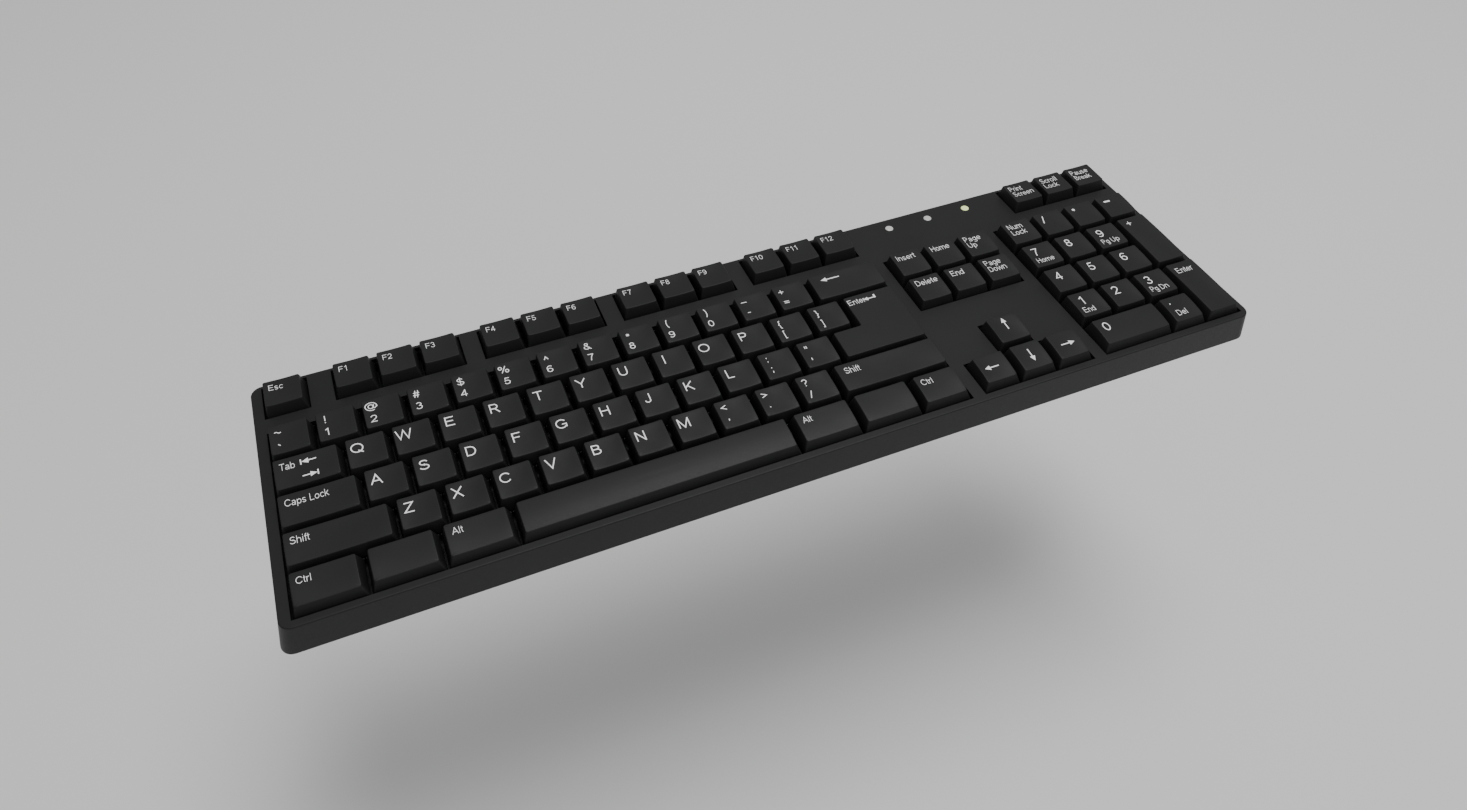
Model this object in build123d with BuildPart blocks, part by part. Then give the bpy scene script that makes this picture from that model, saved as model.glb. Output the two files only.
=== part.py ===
from build123d import *
from collections import namedtuple
import math
import os

os.makedirs("parts", exist_ok=True)

# ------------------------------------------------------------------ driving dimensions (mm)
# Frame: X along the long side, -Y towards the typist, Z up.  Z = 0 is the desk, and the
# origin is the centre of the footprint.

key_pitch = 19.05
key_travel = 4.0

case_width = 439.4
case_depth = 128.3
case_height = 17.3
case_corner = 5.0
case_flare = 4.5
case_wall = 1.7
case_top_wall = 1.8
pad_height = 1.3

left_rim = 4.65
back_rim = 1.9
row_gap = 8.7
escape_gap = 10.5
function_gap = 8.4
cluster_gap = 6.25

floor_thickness = 1.5
board_gap = 1.5
board_thickness = 1.6
plate_height_over_board = 5.0
plate_thickness = 1.5

# ------------------------------------------------------------------ levels (Z)
underside = pad_height
case_top = underside + case_height
cavity_top = case_top - case_top_wall
floor_top = underside + floor_thickness
board_bottom = floor_top + board_gap
board_top = board_bottom + board_thickness
plate_top = board_top + plate_height_over_board
plate_bottom = plate_top - plate_thickness
housing_top = plate_top + 6.6
flange_top = plate_top + 1.0
stem_shoulder = housing_top - 0.2
stem_top = housing_top + 3.6
cap_base = case_top - 1.9
cap_ceiling = housing_top + key_travel + 0.35

# ------------------------------------------------------------------ key layout
main_left = -case_width / 2 + left_rim
function_back = case_depth / 2 - back_rim
number_back = function_back - key_pitch - row_gap
nav_left = main_left + 15 * key_pitch + cluster_gap
pad_left = nav_left + 3 * key_pitch + cluster_gap
row_back = [function_back] + [number_back - row * key_pitch for row in range(5)]

Cell = namedtuple("Cell", "left back width depth row")
Profile = namedtuple("Profile", "rise side front back")

# Height of each row's key tops over the case, and how far the top is set in from its cell.
row_profile = [
    Profile(rise=5.1, side=1.9, front=2.4, back=1.8),
    Profile(rise=5.3, side=1.9, front=2.2, back=1.8),
    Profile(rise=5.0, side=1.9, front=2.3, back=2.0),
    Profile(rise=4.8, side=1.9, front=2.4, back=2.0),
    Profile(rise=4.9, side=2.0, front=2.5, back=2.1),
    Profile(rise=4.7, side=2.4, front=3.5, back=2.0),
]


def key(left_units, row, width_units=1, depth_units=1, origin=main_left):
    """One key's cell, from its left edge in key units."""
    return Cell(
        origin + left_units * key_pitch,
        row_back[row],
        width_units * key_pitch,
        depth_units * key_pitch,
        row,
    )


def run(left_units, row, count, origin=main_left):
    """A run of neighbouring one-unit keys."""
    return [key(left_units + index, row, origin=origin) for index in range(count)]


function_lefts = [
    main_left + key_pitch + escape_gap + block * (3 * key_pitch + function_gap) for block in range(4)
]
function_row = [cell for left in function_lefts for cell in run(0, 0, 3, origin=left)]
pad_singles = run(1, 1, 3, origin=pad_left) + run(0, 2, 3, origin=pad_left)
pad_singles += run(0, 3, 3, origin=pad_left) + run(0, 4, 3, origin=pad_left)
pad_singles += [key(2, 5, origin=pad_left)]

key_groups = {
    "escape_key": [key(0, 0)],
    "function_keys": function_row,
    "number_row_keys": run(0, 1, 13),
    "backspace_key": [key(13, 1, 2)],
    "tab_key": [key(0, 2, 1.5)],
    "upper_letter_keys": run(1.5, 2, 12),
    "caps_lock_key": [key(0, 3, 1.75)],
    "home_letter_keys": run(1.75, 3, 11),
    "left_shift_key": [key(0, 4, 2.25)],
    "lower_letter_keys": run(2.25, 4, 10),
    "right_shift_key": [key(12.25, 4, 2.75)],
    "left_ctrl_key": [key(0, 5, 1.5)],
    "left_blank_key": [key(1.5, 5, 1.5)],
    "left_alt_key": [key(3, 5, 1.5)],
    "space_bar": [key(4.5, 5, 6.25)],
    "right_alt_key": [key(10.75, 5, 1.5)],
    "right_blank_key": [key(12.25, 5, 1.5)],
    "right_ctrl_key": [key(13.75, 5, 1.25)],
    "insert_key": [key(0, 1, origin=nav_left)],
    "home_key": [key(1, 1, origin=nav_left)],
    "page_up_key": [key(2, 1, origin=nav_left)],
    "delete_key": [key(0, 2, origin=nav_left)],
    "end_key": [key(1, 2, origin=nav_left)],
    "page_down_key": [key(2, 2, origin=nav_left)],
    "up_arrow_key": [key(1, 4, origin=nav_left)],
    "left_arrow_key": [key(0, 5, origin=nav_left)],
    "down_arrow_key": [key(1, 5, origin=nav_left)],
    "right_arrow_key": [key(2, 5, origin=nav_left)],
    "print_screen_key": [key(1, 0, origin=pad_left)],
    "scroll_lock_key": [key(2, 0, origin=pad_left)],
    "pause_key": [key(3, 0, origin=pad_left)],
    "num_lock_key": [key(0, 1, origin=pad_left)],
    "pad_plus_key": [key(3, 2, 1, 2, origin=pad_left)],
    "pad_enter_key": [key(3, 4, 1, 2, origin=pad_left)],
    "pad_zero_key": [key(0, 5, 2, origin=pad_left)],
    "pad_keys": pad_singles,
}

# The Enter key covers the end of two rows: its stem and stabilizers are under the lower one.
enter_upper = key(13.5, 2, 1.5)
enter_lower = key(12.75, 3, 2.25)


def centre(cell):
    return (cell.left + cell.width / 2, cell.back - cell.depth / 2)


switch_cells = [cell for cells in key_groups.values() for cell in cells] + [enter_lower]
switch_places = [centre(cell) for cell in switch_cells]

# Stabilizers: two on each key of two units or more, across the key or along it.
stabilizer_spread = 11.938
space_spread = 50.0


def stabilizer_offsets(cell):
    """Where a key's stabilizer stems stand, from the middle of the key."""
    if cell.width > 6 * key_pitch:
        return [(-space_spread, 0), (space_spread, 0)]
    if cell.width >= 2 * key_pitch:
        return [(-stabilizer_spread, 0), (stabilizer_spread, 0)]
    if cell.depth >= 2 * key_pitch:
        return [(0, -stabilizer_spread), (0, stabilizer_spread)]
    return []


def stabilizer_locations(cell):
    """Where a key's stabilizers stand on the plate, turned to lie along a tall key."""
    middle_x, middle_y = centre(cell)
    turn = 90 if cell.depth > cell.width else 0
    offsets = stabilizer_offsets(cell)
    return [Location((middle_x + x, middle_y + y), (0, 0, turn)) for x, y in offsets]


stabilized_cells = [cell for cell in switch_cells if stabilizer_offsets(cell)]

# ------------------------------------------------------------------ keycaps
cap_clearance = 0.4
cap_wall = 1.3
dish_depth = 0.45
post_side = 5.4
cross_slot = (4.2, 1.35)
cross_bar = (4.0, 1.15)


def tapered_block(width, depth, bottom, top, side_slope, front_slope, back_slope, dish=0.0):
    """A block whose four walls lean in by a slope, with a top that may be dished across X."""
    height = top - bottom
    reach = height + 1.0
    half_depth = depth / 2
    half_width = width / 2
    half_top = half_width - side_slope * height
    with BuildPart() as block:
        with BuildSketch(Plane.YZ) as side_view:
            with BuildLine():
                Polyline(
                    (-half_depth, bottom),
                    (half_depth, bottom),
                    (half_depth - back_slope * reach, bottom + reach),
                    (-half_depth + front_slope * reach, bottom + reach),
                    close=True,
                )
            make_face()
        extrude(amount=width, both=True)
        with BuildSketch(Plane.XZ) as front_view:
            with BuildLine():
                Polyline((-half_top, top), (-half_width, bottom), (half_width, bottom), (half_top, top))
                if dish:
                    ThreePointArc((-half_top, top), (0, top - dish), (half_top, top))
                else:
                    Line((-half_top, top), (half_top, top))
            make_face()
        extrude(amount=depth, both=True, mode=Mode.INTERSECT)
    return block.part


def cap_sockets(posts):
    """Square posts under the cap's roof, each with a cross-shaped slot for its stem."""
    with BuildPart() as sockets:
        with BuildSketch(Plane.XY.offset(stem_shoulder + 0.1)):
            with Locations(*posts):
                Rectangle(post_side, post_side)
                Rectangle(*cross_slot, mode=Mode.SUBTRACT)
                Rectangle(*cross_slot[::-1], mode=Mode.SUBTRACT)
        extrude(amount=cap_ceiling - stem_shoulder - 0.1)
    return sockets.part


def keycap(width, depth, row, posts):
    """A hollow keycap centred on its cell, with a cross socket over each stem."""
    profile = row_profile[row]
    top = case_top + profile.rise
    height = top - cap_base
    side_slope = (profile.side - cap_clearance) / height
    front_slope = (profile.front - cap_clearance) / height
    back_slope = (profile.back - cap_clearance) / height
    base_width = width - 2 * cap_clearance
    base_depth = depth - 2 * cap_clearance
    dish = 0.0 if width > 6 * key_pitch else dish_depth
    slopes = (side_slope, front_slope, back_slope)
    outside = tapered_block(base_width, base_depth, cap_base, top, *slopes, dish=dish)
    inside = tapered_block(
        base_width - 2 * cap_wall, base_depth - 2 * cap_wall, cap_base, cap_ceiling, *slopes
    )
    sockets = cap_sockets(posts)
    with BuildPart() as cap:
        add(outside)
        add(inside, mode=Mode.SUBTRACT)
        add(sockets)
    return cap.part


def enter_keycap():
    """The Enter cap: an L over two rows, with every wall leaning in alike and a flat top."""
    profile = row_profile[3]
    top = case_top + profile.rise
    lean = math.degrees(math.atan((profile.side - cap_clearance) / (top - cap_base)))
    right = enter_upper.left + enter_upper.width
    back = enter_upper.back
    middle = enter_lower.back
    front = enter_lower.back - enter_lower.depth

    def outline(inset):
        return [
            (enter_upper.left + inset, back - inset),
            (enter_upper.left + inset, middle - inset),
            (enter_lower.left + inset, middle - inset),
            (enter_lower.left + inset, front + inset),
            (right - inset, front + inset),
            (right - inset, back - inset),
        ]

    middle_x, middle_y = centre(enter_lower)
    spread = [0, -stabilizer_spread, stabilizer_spread]
    sockets = cap_sockets([(middle_x + offset, middle_y) for offset in spread])
    with BuildPart() as cap:
        with BuildSketch(Plane.XY.offset(cap_base)):
            with BuildLine():
                Polyline(*outline(cap_clearance), close=True)
            make_face()
        extrude(amount=top - cap_base, taper=lean)
        with BuildSketch(Plane.XY.offset(cap_base)):
            with BuildLine():
                Polyline(*outline(cap_clearance + cap_wall), close=True)
            make_face()
        extrude(amount=cap_ceiling - cap_base, taper=lean, mode=Mode.SUBTRACT)
        add(sockets)
    return cap.part


# ------------------------------------------------------------------ switches and stabilizers
slider_size = (7.0, 6.0)
slider_bottom = plate_top + 0.3
collar_size = (9.0, 6.0)
spring_bore = 4.4
housing_side = 13.9
flange_side = 15.0
cavity_size = (10.0, 11.6)
housing_floor = 0.8
cavity_bottom = board_top + housing_floor
spring_outer = 2.0
spring_inner = 1.6
spring_top = slider_bottom + 5.1 - key_travel - 0.2
pin_places = [(-4.2, 2.54), (2.54, 5.1)]
pin_size = (0.6, 0.9)
pin_length = 1.2
opening_size = (7.6, 6.6)
stabilizer_housing = (6.8, 11.0)
stabilizer_cavity = (4.2, 6.6)
stabilizer_slider = (3.6, 5.6)
stabilizer_top = plate_top + 2.2
wire_radius = 0.7
wire_level = cavity_bottom + 0.9
wire_offset = 8.3


def switch_stem():
    """The sliding stem of one switch: a hollow slider, its retaining collar and the cross."""
    with BuildPart() as stem:
        with BuildSketch(Plane.XY.offset(slider_bottom)):
            Rectangle(*slider_size)
        extrude(amount=stem_shoulder - slider_bottom)
        with BuildSketch(Plane.XY.offset(cavity_top - 1.8)):
            Rectangle(*collar_size)
        extrude(amount=1.0)
        with BuildSketch(Plane.XY.offset(stem_shoulder)):
            Rectangle(*cross_bar)
            Rectangle(*cross_bar[::-1])
        extrude(amount=stem_top - stem_shoulder)
        with BuildSketch(Plane.XY.offset(slider_bottom)):
            Rectangle(spring_bore, spring_bore)
        extrude(amount=5.1, mode=Mode.SUBTRACT)
    return stem.part


def stabilizer_stem():
    """The sliding foot of a stabilizer, with the same cross as a switch."""
    with BuildPart() as stem:
        with BuildSketch(Plane.XY.offset(slider_bottom)):
            Rectangle(*stabilizer_slider)
        extrude(amount=stem_shoulder - slider_bottom)
        with BuildSketch(Plane.XY.offset(stem_shoulder)):
            Rectangle(*cross_bar)
            Rectangle(*cross_bar[::-1])
        extrude(amount=stem_top - stem_shoulder)
    return stem.part


def lower_housing():
    """The box that drops through the plate: a spring post inside, and slots for two contacts."""
    with BuildPart() as housing:
        with BuildSketch(Plane.XY.offset(board_top)):
            Rectangle(housing_side, housing_side)
        extrude(amount=plate_top - board_top)
        with BuildSketch(Plane.XY.offset(plate_top)):
            Rectangle(flange_side, flange_side)
        extrude(amount=flange_top - plate_top)
        with BuildSketch(Plane.XY.offset(cavity_bottom)):
            Rectangle(*cavity_size)
            Rectangle(2.1, 2.1, mode=Mode.SUBTRACT)
        extrude(amount=flange_top - cavity_bottom, mode=Mode.SUBTRACT)
        with BuildSketch(Plane.XY.offset(cavity_bottom + 3.0)):
            Rectangle(2.2, 2.2)
        extrude(amount=flange_top - cavity_bottom - 3.0, mode=Mode.SUBTRACT)
        with BuildSketch(Plane.XY.offset(board_top)):
            with Locations(*pin_places):
                Rectangle(pin_size[0] + 0.2, pin_size[1] + 0.2)
        extrude(amount=housing_floor, mode=Mode.SUBTRACT)
    return housing.part


def upper_housing():
    """The tapered cover clipped over the plate, open in the middle for the slider."""
    height = housing_top - flange_top
    side_slope = (7.1 - 5.5) / height
    front_slope = (7.1 - 4.9) / height
    slopes = (side_slope, front_slope, front_slope)
    outside = tapered_block(14.2, 14.2, flange_top, housing_top, *slopes)
    inside = tapered_block(11.8, 11.8, flange_top, housing_top - 1.2, *slopes)
    with BuildPart() as housing:
        add(outside)
        add(inside, mode=Mode.SUBTRACT)
        with BuildSketch(Plane.XY.offset(housing_top - 1.2)):
            Rectangle(*opening_size)
        extrude(amount=1.2, mode=Mode.SUBTRACT)
    return housing.part


def switch_spring():
    """The return spring, as the closed sleeve of coils that it becomes under a pressed key."""
    with BuildPart() as spring:
        with BuildSketch(Plane.XY.offset(cavity_bottom)):
            Circle(spring_outer)
            Circle(spring_inner, mode=Mode.SUBTRACT)
        extrude(amount=spring_top - cavity_bottom)
    return spring.part


def switch_contacts():
    """The two contact blades of one switch: each is a solder pin below and a leaf above."""
    with BuildPart() as contacts:
        with BuildSketch(Plane.XY.offset(board_bottom - pin_length)):
            with Locations(*pin_places):
                Rectangle(*pin_size)
        extrude(amount=cavity_bottom - board_bottom + pin_length + 3.0)
    return contacts.part


def stabilizer_case():
    """One stabilizer housing: a box through the plate, slotted in front for the wire."""
    with BuildPart() as housing:
        with BuildSketch(Plane.XY.offset(cavity_bottom - 0.4)):
            Rectangle(*stabilizer_housing)
        extrude(amount=stabilizer_top - cavity_bottom + 0.4)
        with BuildSketch(Plane.XY.offset(cavity_bottom)):
            Rectangle(*stabilizer_cavity)
        extrude(amount=stabilizer_top - cavity_bottom, mode=Mode.SUBTRACT)
        with BuildSketch(Plane.XY.offset(cavity_bottom)):
            with Locations((0, -stabilizer_housing[1] / 2)):
                Rectangle(2.0, stabilizer_housing[1] - 4.0)
        extrude(amount=1.9, mode=Mode.SUBTRACT)
    return housing.part


def stabilizer_wire(spread):
    """The bent wire that ties the two stabilizer feet of a key together."""
    with BuildPart() as wire:
        with BuildLine() as path:
            FilletPolyline(
                (-spread, -3.6, wire_level),
                (-spread, -wire_offset, wire_level),
                (spread, -wire_offset, wire_level),
                (spread, -3.6, wire_level),
                radius=1.6,
            )
        with BuildSketch(Plane(origin=path.line @ 0, z_dir=path.line % 0)):
            Circle(wire_radius)
        sweep()
    return wire.part


def write(node, name):
    """Label a finished node and save it."""
    node.part.label = name
    export_step(node.part, f"parts/{name}.step")


# ------------------------------------------------------------------ keys, each with its stems
stem_solid = switch_stem()
stabilizer_stem_solid = stabilizer_stem()
cap_solids = {}


def cap_for(cell):
    """The keycap of a cell, made once for each size and row."""
    size = (round(cell.width, 3), round(cell.depth, 3), cell.row)
    if size not in cap_solids:
        posts = [(0, 0)] + stabilizer_offsets(cell)
        cap_solids[size] = keycap(cell.width, cell.depth, cell.row, posts)
    return cap_solids[size]


for name, cells in key_groups.items():
    with BuildPart() as key_node:
        for cell in cells:
            middle_x, middle_y = centre(cell)
            with Locations((middle_x, middle_y)):
                add(cap_for(cell))
                add(stem_solid)
            if stabilizer_offsets(cell):
                with Locations(*stabilizer_locations(cell)):
                    add(stabilizer_stem_solid)
    write(key_node, name)

with BuildPart() as enter_key:
    add(enter_keycap())
    enter_x, enter_y = centre(enter_lower)
    with Locations((enter_x, enter_y)):
        add(stem_solid)
    with Locations(
        (enter_x - stabilizer_spread, enter_y),
        (enter_x + stabilizer_spread, enter_y),
    ):
        add(stabilizer_stem_solid)
write(enter_key, "enter_key")


# ------------------------------------------------------------------ switches, held by the plate
lower_housing_solid = lower_housing()
with BuildPart() as switch_lower_housings:
    with Locations(*switch_places):
        add(lower_housing_solid)
write(switch_lower_housings, "switch_lower_housings")

upper_housing_solid = upper_housing()
with BuildPart() as switch_upper_housings:
    with Locations(*switch_places):
        add(upper_housing_solid)
write(switch_upper_housings, "switch_upper_housings")

spring_solid = switch_spring()
with BuildPart() as switch_springs:
    with Locations(*switch_places):
        add(spring_solid)
write(switch_springs, "switch_springs")

contacts_solid = switch_contacts()
with BuildPart() as switch_contact_blades:
    with Locations(*switch_places):
        add(contacts_solid)
write(switch_contact_blades, "switch_contacts")

# ------------------------------------------------------------------ stabilizers
stabilizer_case_solid = stabilizer_case()
with BuildPart() as stabilizer_housings:
    for cell in stabilized_cells:
        with Locations(*stabilizer_locations(cell)):
            add(stabilizer_case_solid)
write(stabilizer_housings, "stabilizer_housings")

short_wire_solid = stabilizer_wire(stabilizer_spread)
space_wire_solid = stabilizer_wire(space_spread)
with BuildPart() as stabilizer_wires:
    for cell in stabilized_cells:
        middle_x, middle_y = centre(cell)
        turn = 90 if cell.depth > cell.width else 0
        with Locations(Location((middle_x, middle_y), (0, 0, turn))):
            add(space_wire_solid if cell.width > 6 * key_pitch else short_wire_solid)
write(stabilizer_wires, "stabilizer_wires")

# ------------------------------------------------------------------ places on the case
screw_row_y = function_back - key_pitch - row_gap / 2
screw_places = [(x, screw_row_y) for x in (-200.0, -66.0, 66.0, 200.0)]
screw_places += [(nav_left + 1.5 * key_pitch + offset, row_back[4] + 9.6) for offset in (-15.5, 15.5)]
screw_places += [
    (nav_left - cluster_gap / 2, row_back[5] - 10.0),
    (pad_left - cluster_gap / 2, row_back[5] - 10.0),
]
boss_radius = 2.9
screw_hole_radius = 1.6
pilot_radius = 1.3
screw_radius = 1.2
screw_head_radius = 2.5
screw_head_height = 1.2
screw_reach = 3.8

light_pitch = 22.35
light_x = nav_left + 2 * key_pitch
light_y = function_back - 5.1
light_places = [(light_x + index * light_pitch - light_pitch, light_y) for index in range(3)]
light_radius = 2.0
socket_x = light_x - light_pitch / 2
socket_size = (8.9, 3.2)
socket_length = 7.3
socket_back = case_depth / 2 - 0.8

foot_x = 178.0
foot_width = 26.0
foot_length = 13.4
foot_radius = 1.0
foot_axis_y = screw_row_y + 9.0
foot_axis_z = underside + foot_radius
foot_gap = 0.3
foot_pin_radius = 0.65
foot_pin_length = 1.2
pocket_wall = 2.4

front_pad_places = [(-case_width / 2 + 30, -case_depth / 2 + 9), (case_width / 2 - 30, -case_depth / 2 + 9)]
rear_pad_places = [(-case_width / 2 + 14, case_depth / 2 - 16), (case_width / 2 - 14, case_depth / 2 - 16)]

# Openings in the top case, each as its left edge, back edge, width and depth.
opening_margin = 0.1
openings = [(main_left, function_back, key_pitch, key_pitch)]
openings += [(left, function_back, 3 * key_pitch, key_pitch) for left in function_lefts]
openings += [
    (pad_left + key_pitch, function_back, 3 * key_pitch, key_pitch),
    (main_left, number_back, 15 * key_pitch, 5 * key_pitch),
    (nav_left, number_back, 3 * key_pitch, 2 * key_pitch),
    (nav_left + key_pitch, row_back[4], key_pitch, key_pitch),
    (nav_left, row_back[5], 3 * key_pitch, key_pitch),
    (pad_left, number_back, 4 * key_pitch, 5 * key_pitch),
]

# ------------------------------------------------------------------ top case
inner_width = case_width - 2 * case_wall
inner_depth = case_depth - 2 * case_wall
inner_corner = case_corner - case_wall


def flared_block(inset, bottom, top):
    """The case's outline set in by a distance, between two levels. Its two ends lean out to the base."""
    with BuildPart() as block:
        for level in (bottom, top):
            flare = case_flare * (case_top - level) / case_height
            with BuildSketch(Plane.XY.offset(level)):
                RectangleRounded(
                    case_width + 2 * (flare - inset),
                    case_depth - 2 * inset,
                    case_corner - inset,
                )
        loft()
    return block.part


case_block = flared_block(0, underside, case_top)
case_hollow = flared_block(case_wall, underside, cavity_top)

with BuildPart() as top_case:
    add(case_block)
    fillet(top_case.edges().group_by(Axis.Z)[-1], radius=0.6)
    fillet(top_case.edges().group_by(Axis.Z)[0], radius=1.5)
    add(case_hollow, mode=Mode.SUBTRACT)
    with BuildSketch(Plane.XY.offset(cavity_top)):
        for left, back, width, depth in openings:
            with Locations((left + width / 2, back - depth / 2)):
                Rectangle(width + 2 * opening_margin, depth + 2 * opening_margin)
    extrude(amount=case_top_wall, mode=Mode.SUBTRACT)
    with BuildSketch(Plane.XY.offset(plate_top)):
        with Locations(*screw_places):
            Circle(boss_radius)
    extrude(amount=cavity_top - plate_top)
    with BuildSketch(Plane.XY.offset(plate_top)):
        with Locations(*screw_places):
            Circle(pilot_radius)
    extrude(amount=screw_reach + 0.5, mode=Mode.SUBTRACT)
    with BuildSketch(Plane.XY.offset(cavity_top)):
        with Locations(*light_places):
            Circle(light_radius + 0.1)
    extrude(amount=case_top_wall, mode=Mode.SUBTRACT)
    with BuildSketch(Plane.XZ.offset(-case_depth / 2)):
        with Locations((socket_x, board_top + socket_size[1] / 2)):
            RectangleRounded(socket_size[0] + 0.8, socket_size[1] + 0.8, 1.9)
    extrude(amount=case_wall, mode=Mode.SUBTRACT)
write(top_case, "top_case")

# ------------------------------------------------------------------ bottom case
tray_gap = 0.15
lip_thickness = 1.2
lip_top = plate_bottom - 0.4
tray_depth = inner_depth - 2 * tray_gap
pocket_depth = foot_length + 2 * foot_radius + 2 * foot_gap
pocket_middle_y = foot_axis_y + foot_radius + foot_gap - pocket_depth / 2
pocket_ceiling = foot_axis_z + foot_radius + 0.2
support_places = [
    (main_left + column * key_pitch, row_back[4]) for column in (1.75, 4.75, 8.75, 12.25)
]
support_places += [(pad_left + 2 * key_pitch, row_back[4]), (pad_left + 2 * key_pitch, row_back[2])]

tray_block = flared_block(case_wall + tray_gap, underside, lip_top)
tray_hollow = flared_block(case_wall + tray_gap + lip_thickness, floor_top, lip_top)

with BuildPart() as bottom_case:
    add(tray_block)
    add(tray_hollow, mode=Mode.SUBTRACT)
    with BuildSketch(Plane.XY.offset(floor_top)):
        with Locations(*screw_places):
            Circle(boss_radius)
        with Locations(*support_places):
            Circle(1.5)
    extrude(amount=board_gap)
    with BuildSketch(Plane.XY.offset(floor_top)):
        with Locations((-foot_x, pocket_middle_y), (foot_x, pocket_middle_y)):
            Rectangle(foot_width + 2 * foot_gap + 2 * pocket_wall, pocket_depth + 2 * pocket_wall)
    extrude(amount=board_gap - 0.2)
    with BuildSketch(Plane.XY.offset(underside)):
        with Locations((-foot_x, pocket_middle_y), (foot_x, pocket_middle_y)):
            Rectangle(foot_width + 2 * foot_gap, pocket_depth)
    extrude(amount=pocket_ceiling - underside, mode=Mode.SUBTRACT)
    for side in (-1, 1):
        with BuildSketch(Plane.YZ.offset(side * foot_x)):
            with Locations((foot_axis_y, foot_axis_z)):
                Circle(foot_pin_radius + 0.15)
        extrude(amount=foot_width / 2 + foot_pin_length + 0.5, both=True, mode=Mode.SUBTRACT)
    with BuildSketch(Plane.XY.offset(underside)):
        with Locations(*screw_places):
            Circle(screw_hole_radius)
    extrude(amount=board_bottom - underside, mode=Mode.SUBTRACT)
    with BuildSketch(Plane.XY.offset(underside)):
        with Locations(*screw_places):
            Circle(screw_head_radius + 0.2)
    extrude(amount=screw_head_height + 0.2, mode=Mode.SUBTRACT)
    with BuildSketch(Plane.XY.offset(board_top - 0.3)):
        with Locations((socket_x, tray_depth / 2)):
            Rectangle(socket_size[0] + 2.0, 4 * lip_thickness)
    extrude(amount=lip_top - board_top + 0.3, mode=Mode.SUBTRACT)
write(bottom_case, "bottom_case")

# ------------------------------------------------------------------ flip-out feet
for side, name in ((-1, "flip_foot_left"), (1, "flip_foot_right")):
    with BuildPart() as flip_foot:
        with BuildSketch(Plane.YZ.offset(side * foot_x)):
            with Locations((foot_axis_y, foot_axis_z)):
                Circle(foot_radius)
            with Locations((foot_axis_y - foot_length / 2, foot_axis_z)):
                Rectangle(foot_length, 2 * foot_radius)
        extrude(amount=foot_width / 2, both=True)
        with BuildSketch(Plane.XY.offset(underside)):
            with Locations((side * foot_x, foot_axis_y - foot_length + 3.4)):
                Rectangle(foot_width - 10.0, 2.4)
        extrude(amount=0.7, mode=Mode.SUBTRACT)
        with BuildSketch(Plane.YZ.offset(side * foot_x)):
            with Locations((foot_axis_y, foot_axis_z)):
                Circle(foot_pin_radius)
        extrude(amount=foot_width / 2 + foot_pin_length, both=True)
    write(flip_foot, name)

# ------------------------------------------------------------------ feet and screws below
with BuildPart() as rubber_feet:
    with BuildSketch():
        with Locations(*front_pad_places):
            RectangleRounded(36.0, 9.0, 3.0)
        with Locations(*rear_pad_places):
            RectangleRounded(9.0, 18.0, 3.0)
    extrude(amount=pad_height)
    chamfer(rubber_feet.edges().group_by(Axis.Z)[0], length=0.3)
write(rubber_feet, "rubber_feet")

with BuildPart() as case_screws:
    with BuildSketch(Plane.XY.offset(underside + 0.2)):
        with Locations(*screw_places):
            Circle(screw_head_radius)
    extrude(amount=screw_head_height)
    with BuildSketch(Plane.XY.offset(underside + 0.2 + screw_head_height)):
        with Locations(*screw_places):
            Circle(screw_radius)
    extrude(amount=plate_top + screw_reach - underside - 0.2 - screw_head_height)
    with BuildSketch(Plane.XY.offset(underside + 0.2)):
        with Locations(*screw_places):
            Rectangle(2.8, 0.6)
            Rectangle(0.6, 2.8)
    extrude(amount=0.7, mode=Mode.SUBTRACT)
write(case_screws, "case_screws")

# ------------------------------------------------------------------ plate and circuit board
plate_edge_gap = 0.4
plate_hole_side = housing_side + 0.1

with BuildPart() as switch_plate:
    with BuildSketch(Plane.XY.offset(plate_bottom)):
        RectangleRounded(
            inner_width - 2 * plate_edge_gap,
            inner_depth - 2 * plate_edge_gap,
            inner_corner - plate_edge_gap,
        )
        with Locations(*switch_places):
            Rectangle(plate_hole_side, plate_hole_side, mode=Mode.SUBTRACT)
        for cell in stabilized_cells:
            with Locations(*stabilizer_locations(cell)):
                Rectangle(stabilizer_housing[0] + 0.1, stabilizer_housing[1] + 0.1, mode=Mode.SUBTRACT)
        with Locations(*screw_places):
            Circle(screw_hole_radius, mode=Mode.SUBTRACT)
        with Locations(*light_places):
            Circle(light_radius + 0.3, mode=Mode.SUBTRACT)
    extrude(amount=plate_thickness)
write(switch_plate, "switch_plate")

board_size = (inner_width - 4.0, inner_depth - 3.5)

with BuildPart() as circuit_board:
    with BuildSketch(Plane.XY.offset(board_bottom)):
        RectangleRounded(*board_size, 2.0)
        for place_x, place_y in switch_places:
            with Locations(*[(place_x + pin_x, place_y + pin_y) for pin_x, pin_y in pin_places]):
                Circle(0.75, mode=Mode.SUBTRACT)
        with Locations(*screw_places):
            Circle(screw_hole_radius, mode=Mode.SUBTRACT)
    extrude(amount=board_thickness)
write(circuit_board, "circuit_board")

diode_offset = (6.2, 0.0)
with BuildPart() as switch_diodes:
    with BuildSketch(Plane.XY.offset(board_bottom - 1.1)):
        with Locations(*[(x + diode_offset[0], y + diode_offset[1]) for x, y in switch_places]):
            Rectangle(2.7, 1.6)
    extrude(amount=1.1)
write(switch_diodes, "switch_diodes")

# ------------------------------------------------------------------ electronics on the board
chip_x = nav_left + 1.5 * key_pitch
chip_y = row_back[4] + 9.6
chip_side = 10.0
lead_count = 11
lead_pitch = 0.8

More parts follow.
